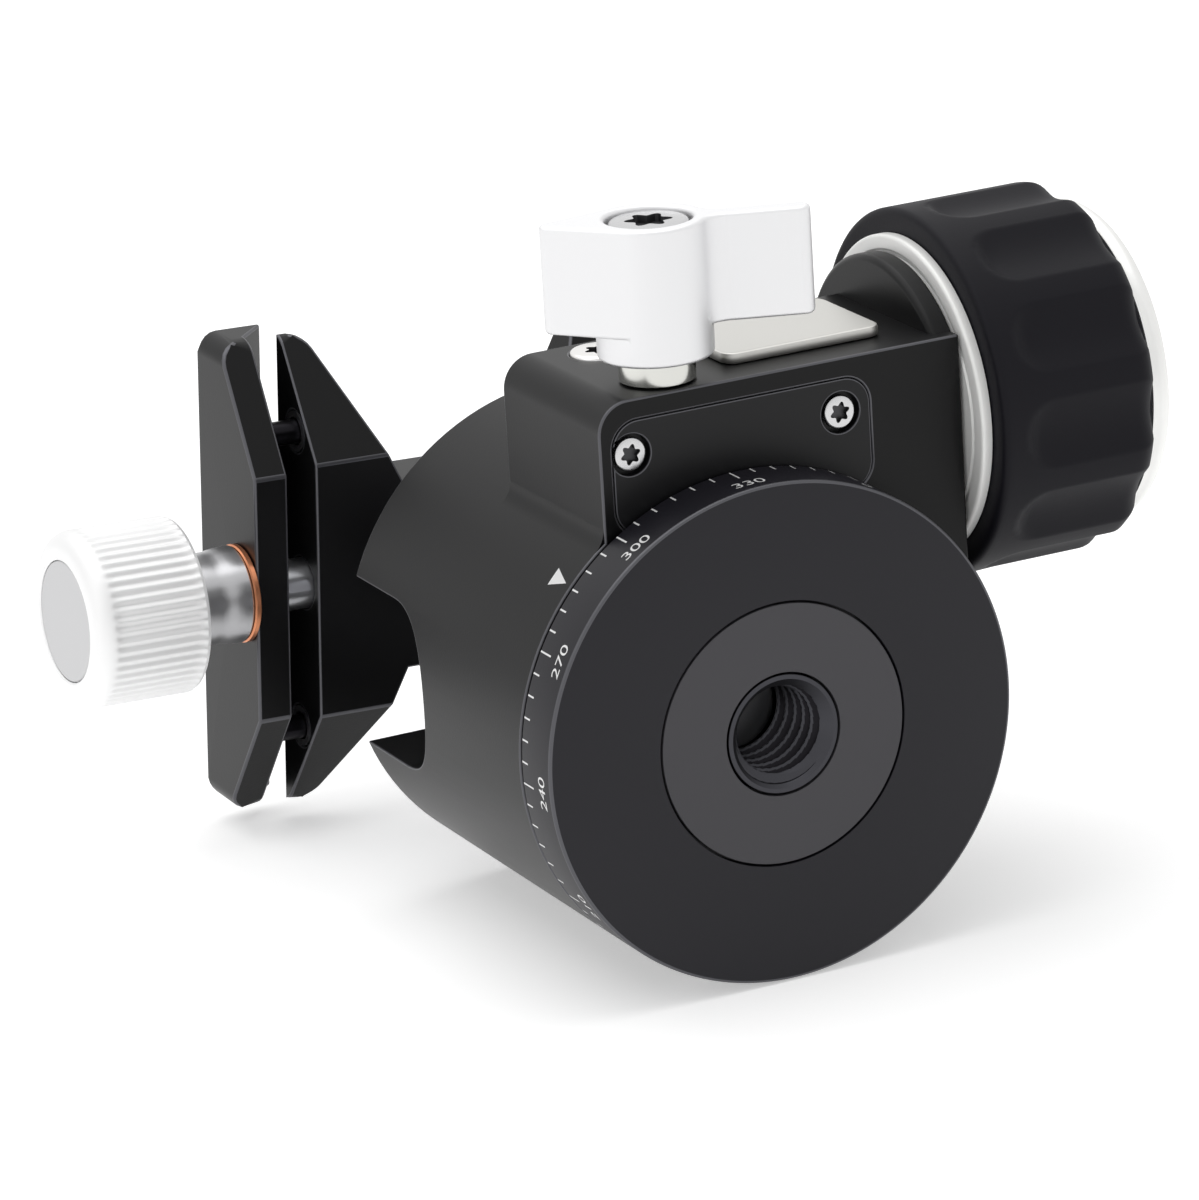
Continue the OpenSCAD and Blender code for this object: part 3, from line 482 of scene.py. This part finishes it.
piece("rubber grip shown", turned(levels(
    [(GRIP_IN, GRIP_X + 0.02), (GRIP_R - 0.78, GRIP_X + 0.02)]
    + arc(GRIP_R - 0.63, GRIP_X + 0.65, 0.62, -90, 0, 5) + [(GRIP_R, GRIP_END - 2.4)]
    + arc(GRIP_R - GRIP_ROUND, GRIP_END - 2.4, GRIP_ROUND, 0, 78, 8) + [(GRIP_IN, GRIP_END)],
    0.45), 576, fluted, closed=True), LOCK, "lock_knob", rubber, ["knob_grip"])
piece("knob cap shown", turned(
    [(0, GRIP_END + 0.02), (CAP_R - 0.1, GRIP_END + 0.02)]
    + arc(CAP_R - CAP_ROUND, GRIP_END + 1.0, CAP_ROUND, -30, 90, 8)
    + [(13.4, GRIP_END + 2.06), (13.1, GRIP_END + 1.9), (0, GRIP_END + 1.9)], 192),
    LOCK, "lock_knob", knob_silver, ["knob_cap"])

# ---- clamp
FROM_CLAMP = CLAMP.inverted()
JAW_ENDS = 23.5              # past it, along the jaws, the edges belong to their ends
JAW_HIGH = 8                 # above it, edges across the jaws keep the small rounding
ACROSS, UPRIGHT = 0, 2


def clamp_edge(along, low, high):
    """A test for edges that run along an axis of the clamp, at the ends of the jaws, between two x."""
    def test(edge):
        one, two = (FROM_CLAMP @ v.co for v in edge.verts)
        way = (two - one).normalized()
        return (abs(way[along]) > 0.99 and abs(one.y) > JAW_ENDS and abs(two.y) > JAW_ENDS
                and low < min(one.x, two.x) and max(one.x, two.x) < high
                and (along == UPRIGHT or min(one.z, two.z) < JAW_HIGH))
    return test


refined("clamp_body", "clamp", anodised, width=0.22, segments=3,
        corners=[(clamp_edge(UPRIGHT, -17, 0), 1.5), (clamp_edge(ACROSS, -19, 0), 1.0),
                 (clamp_edge(ACROSS, 12, 23), 1.0)], edge=anodised_painted_edge_highlight)
refined("moving_jaw", "jaw", anodised, width=0.26, segments=3,
        corners=[(clamp_edge(UPRIGHT, -26, -24.5), 2.0), (clamp_edge(ACROSS, -26, -20), 1.4)],
        edge=anodised_painted_edge_highlight)

# the clamp's knob, drawn outwards from the jaw
JAW_OUT = 25.0
NECK = JAW_OUT + 0.75
KNURL = NECK + 6.2
KNOB_END = KNURL + 11.6
RIDGES, RIDGE, RIDGE_FROM = 54, 0.2, 7.6
KNOB_HOLE, DISC_HOLE = 2.55, 5.93
KNOB_R, KNOB_ROUND, COVE = 8.63, 1.88, 0.9


def knurled(radius, height, angle):
    """Straight knurl: rounded ridges that fade at both ends."""
    if radius < RIDGE_FROM:
        return radius
    fade = (min(1, max(0, (height - KNURL - 0.3) / 0.8))
            * min(1, max(0, (KNOB_END - 1.6 - height) / 0.7)))
    wave = 0.5 - 0.5 * math.cos(RIDGES * angle)
    return radius - RIDGE * fade * wave


clamp_knob = piece("clamp knob shown", turned(levels(
    [(KNOB_HOLE, NECK), (4.6, NECK), (4.75, NECK + 0.2), (4.7, NECK + 1.4), (4.5, NECK + 2.8)]
    + arc(4.5 + COVE, KNURL - COVE, COVE, 180, 90, 6)
    + [(8.05, KNURL), (8.4, KNURL + 0.1), (8.6, KNURL + 0.45), (KNOB_R, KNOB_END - 2.0)]
    + arc(KNOB_R - KNOB_ROUND, KNOB_END - 1.9, KNOB_ROUND, 4, 84, 8)
    + [(6.1, KNOB_END), (DISC_HOLE, KNOB_END - 0.15), (DISC_HOLE, KNOB_END - 0.6),
       (KNOB_HOLE, KNOB_END - 0.6)], 0.5), 648, knurled, closed=True),
    CLAMP_KNOB, "clamp_knob", [knurl_silver, neck_silver], ["clamp_knob"])
for face in clamp_knob.data.polygons:
    middle = CLAMP_KNOB.inverted() @ (face.center / MM)
    face.material_index = 1 if math.hypot(middle.x, middle.y) < 5.6 and middle.z < KNURL + 0.3 else 0
DISC_R, DISC_LOW, DISC_HIGH = 5.85, KNOB_END - 0.55, KNOB_END - 0.12
piece("knob disc shown", turned(
    [(0, DISC_LOW), (DISC_R, DISC_LOW), (DISC_R, DISC_HIGH - 0.1), (DISC_R - 0.1, DISC_HIGH),
     (0, DISC_HIGH)], 128), CLAMP_KNOB, "clamp_knob", disc_grey, ["knob_disc"])
WASHER_IN, WASHER_R, WASHER_LOW, WASHER_HIGH = 2.7, 4.8, 25.02, 25.69
piece("copper washer shown", turned(
    [(WASHER_IN, WASHER_LOW), (WASHER_R - 0.15, WASHER_LOW), (WASHER_R, WASHER_LOW + 0.13),
     (WASHER_R, WASHER_HIGH - 0.14), (WASHER_R - 0.15, WASHER_HIGH), (WASHER_IN, WASHER_HIGH)],
    96, closed=True), CLAMP_KNOB, "jaw", copper, ["clamp_washer"])


# ---- marks on the base ring and the barrel: paint, a hair proud of the surface
def on_ring(shell, radius, facing):
    """Wraps flat marks, drawn in mm about the origin, on the ring at an angle in degrees."""
    for vert in shell.verts:
        angle = math.radians(facing) + vert.co.x / radius
        vert.co = (radius * math.cos(angle), radius * math.sin(angle), vert.co.y)


def face_out(shell):
    """Turns every mark so that it faces away from the axis."""
    for face in shell.faces:
        middle = face.calc_center_median()
        if face.normal.dot(Vector((middle.x, middle.y, 0))) < 0:
            face.normal_flip()


def bar(x, y0, y1, width):
    """A flat rectangle with a cut each way, so that it can be wrapped."""
    shell = bmesh.new()
    bmesh.ops.create_grid(shell, x_segments=2, y_segments=2, size=0.5,
                          matrix=shift(x, (y0 + y1) / 2, 0) @ Matrix.Diagonal((width, y1 - y0, 1, 1)))
    return shell


MARK_R = BASE_R + 0.012
MARK_ZERO = -63.0            # where zero stands, in degrees round the base
TICK_WIDE, TICK_LONG, TICK_SHORT, TICK_FROM = 0.17, 2.3, 1.45, 0.35
DIGIT_SIZE, DIGIT_WIDEN, DIGIT_AT = 1.75, 1.25, 1.7
INDEX_AT, INDEX_Z = -137.5, 8.7
INDEX_HALF, INDEX_HIGH = 0.9, 2.6
ticks = bmesh.new()
for five in range(72):
    one = bar(0, RING_H - (TICK_LONG if five % 6 == 0 else TICK_SHORT), RING_H - TICK_FROM, TICK_WIDE)
    on_ring(one, MARK_R, MARK_ZERO + five * 5)
    gather(ticks, one)
for thirty in range(12):
    word = bpy.data.curves.new("number", "FONT")
    word.body = str(thirty * 30)
    word.size = DIGIT_SIZE
    word.align_x = "CENTER"
    word.align_y = "CENTER"
    made = bpy.data.objects.new("number", word)
    bpy.context.scene.collection.objects.link(made)
    bpy.context.view_layer.update()
    flat = bpy.data.meshes.new_from_object(made.evaluated_get(bpy.context.evaluated_depsgraph_get()))
    bpy.data.objects.remove(made)
    digits = bmesh.new()
    digits.from_mesh(flat)
    bmesh.ops.triangulate(digits, faces=digits.faces)
    for vert in digits.verts:
        vert.co = (vert.co.x * DIGIT_WIDEN, vert.co.y + DIGIT_AT, 0)
    on_ring(digits, MARK_R, MARK_ZERO + thirty * 30)
    gather(ticks, digits)
bmesh.ops.recalc_face_normals(ticks, faces=ticks.faces)
face_out(ticks)
piece("scale marks", ticks, BASE, "base", paint, ())

# a triangle that points at the scale: its lower row of points is bent into a tip
index = bmesh.new()
bmesh.ops.create_grid(index, x_segments=12, y_segments=1, size=1)
for vert in index.verts:
    height = INDEX_HALF if vert.co.y > 0 else INDEX_HIGH * abs(vert.co.x) - (INDEX_HIGH - INDEX_HALF)
    vert.co = (vert.co.x * INDEX_HALF, INDEX_Z + height, 0)
on_ring(index, MARK_R, INDEX_AT)
face_out(index)
piece("index mark", index, BASE, "housing", paint, ())

# ---------------------------------------------------------------- floor and light
# the head lies on its side: on the rim of its base and on the lowest corner of the clamp
FLOOR_Y = 0.02368
FLOOR_HALF = 3
GLOW = 0.42                  # what the floor and the world give; the camera sees the world at 1
WHITE = (1, 1, 1, 1)
floor_made, floor_tree, floor_shader = surface("paper floor, matt white", "ffffff", rough=0.9)
floor_shader.inputs["Emission Color"].default_value = WHITE
floor_shader.inputs["Emission Strength"].default_value = GLOW
# seen from behind, the floor is clear
geo = add(floor_tree, "ShaderNodeNewGeometry")
clear = add(floor_tree, "ShaderNodeBsdfTransparent")
side = add(floor_tree, "ShaderNodeMixShader", {
    0: geo.outputs["Backfacing"], 1: floor_shader.outputs[0], 2: clear.outputs[0]})
floor_tree.links.new(side.outputs[0], floor_tree.nodes["Material Output"].inputs["Surface"])
floor_mesh = bpy.data.meshes.new("floor")
floor_mesh.from_pydata([(x * FLOOR_HALF, FLOOR_Y, z * FLOOR_HALF)
                        for x, z in ((-1, -1), (1, -1), (1, 1), (-1, 1))], [], [(0, 1, 2, 3)])
floor_mesh.materials.append(floor_made)
floor = bpy.data.objects.new("floor", floor_mesh)
bpy.context.scene.collection.objects.link(floor)

# white to the camera and in reflections, and dimmer as light on the object
world = bpy.data.worlds.new("studio")
bpy.context.scene.world = world
world.use_nodes = True
tree = world.node_tree
back = tree.nodes["Background"]
back.inputs["Color"].default_value = WHITE
back.inputs["Strength"].default_value = GLOW
seen = add(tree, "ShaderNodeBackground", {"Color": WHITE, "Strength": 1.0})
path = add(tree, "ShaderNodeLightPath")
shiny = add(tree, "ShaderNodeMath", {
    0: path.outputs["Is Glossy Ray"], 1: path.outputs["Is Transmission Ray"]}, operation="MAXIMUM")
sharp = add(tree, "ShaderNodeMath", {
    0: path.outputs["Is Camera Ray"], 1: shiny.outputs[0]}, operation="MAXIMUM")
both = add(tree, "ShaderNodeMixShader", {0: sharp.outputs[0], 1: back.outputs[0], 2: seen.outputs[0]})
tree.links.new(both.outputs[0], tree.nodes["World Output"].inputs["Surface"])

MIDDLE = Vector((0, 0, 0.035))


def softbox(name, direction, distance, size, watts):
    """A square light that faces the middle of the head."""
    lamp = bpy.data.lights.new(name, "AREA")
    lamp.size = size
    lamp.energy = watts
    placed = bpy.data.objects.new(name, lamp)
    bpy.context.scene.collection.objects.link(placed)
    direction = Vector(direction).normalized()
    placed.matrix_world = (Matrix.Translation(MIDDLE + direction * distance)
                           @ direction.to_track_quat("Z", "Y").to_matrix().to_4x4())


# both are weak, so that the pale metal doesn't clip to white
softbox("top light", (-0.12, -1, 0.2), distance=0.75, size=0.95, watts=3.7)
softbox("side light", (-1, -0.5, -0.15), distance=0.9, size=0.5, watts=0.45)
bpy.context.scene.view_settings.view_transform = "Standard"
